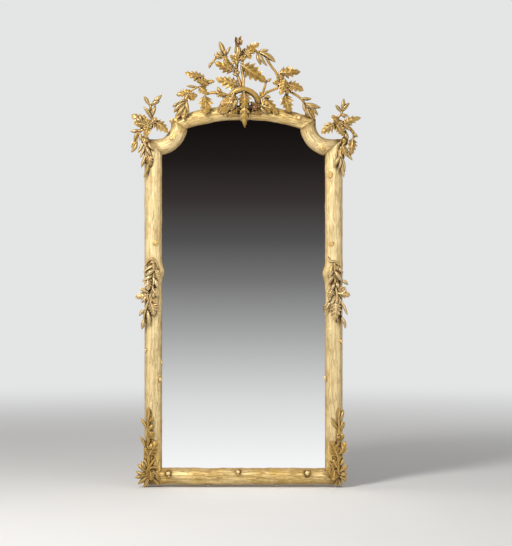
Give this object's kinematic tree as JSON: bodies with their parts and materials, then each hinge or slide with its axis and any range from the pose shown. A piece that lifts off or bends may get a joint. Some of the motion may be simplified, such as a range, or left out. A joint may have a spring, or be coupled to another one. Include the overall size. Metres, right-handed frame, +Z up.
{
  "type": "giltwood mirror",
  "caption": "Tall wall mirror with an arched top, framed by a carved and gilded tree trunk with leafy sprays and a crest, on a pine carcass with brass ring hangers.",
  "frame": {"origin": "centre of the mirror plate's sight height, on the wall plane that the frame's back lies against", "axes": "+Z up, +Y into the wall, -Y towards the room, +X to the right seen from the front"},
  "size_m": [1.1445, 0.128, 2.2378],
  "materials": {
    "gilded_wood": "water-gilded and rubbed, satin, with dark patina in the hollows",
    "pine": "aged bare pine, matt",
    "silvered_glass": "silvered at the back, polished",
    "brass": "aged brass",
    "steel": "dark steel screws"
  },
  "bodies": {
    "frame": {"carcass_bottom_rail": "pine", "carcass_left_stile": "pine", "carcass_right_stile": "pine", "carcass_left_shoulder": "pine", "carcass_right_shoulder": "pine", "carcass_top_rail": "pine", "corner_pegs": "pine", "loose_tongues": "pine", "trunk_bottom": "gilded_wood", "trunk_left": "gilded_wood", "trunk_right": "gilded_wood", "trunk_left_shoulder": "gilded_wood", "trunk_right_shoulder": "gilded_wood", "trunk_arch": "gilded_wood", "facing_screws": "steel", "mirror_plate": "silvered_glass", "glue_blocks": "pine", "backboard_1": "pine", "backboard_2": "pine", "backboard_3": "pine", "backboard_4": "pine", "backboard_5": "pine", "backboard_6": "pine", "backboard_7": "pine", "backboard_8": "pine", "backboard_9": "pine", "backboard_screws": "steel", "hanger_strap_left": "brass", "hanger_strap_right": "brass", "hanger_screws": "brass", "crest_left": "gilded_wood", "crest_right": "gilded_wood", "crest_loop": "gilded_wood", "crest_top": "gilded_wood", "corner_spray_left": "gilded_wood", "corner_spray_right": "gilded_wood", "side_spray_left": "gilded_wood", "side_spray_right": "gilded_wood", "foot_spray_left": "gilded_wood", "foot_spray_right": "gilded_wood"},
    "left_ring": {"hanger_ring_left": "brass"},
    "right_ring": {"hanger_ring_right": "brass"}
  },
  "joints": [
    {"name": "left_ring_swing", "type": "hinge", "parent": "frame", "child": "left_ring", "pos_m": [-0.458, -0.0067, 0.56], "axis": [1, 0, 0], "range_deg": [0, 180]},
    {"name": "right_ring_swing", "type": "hinge", "parent": "frame", "child": "right_ring", "pos_m": [0.458, -0.0067, 0.56], "axis": [1, 0, 0], "range_deg": [0, 180]}
  ]
}
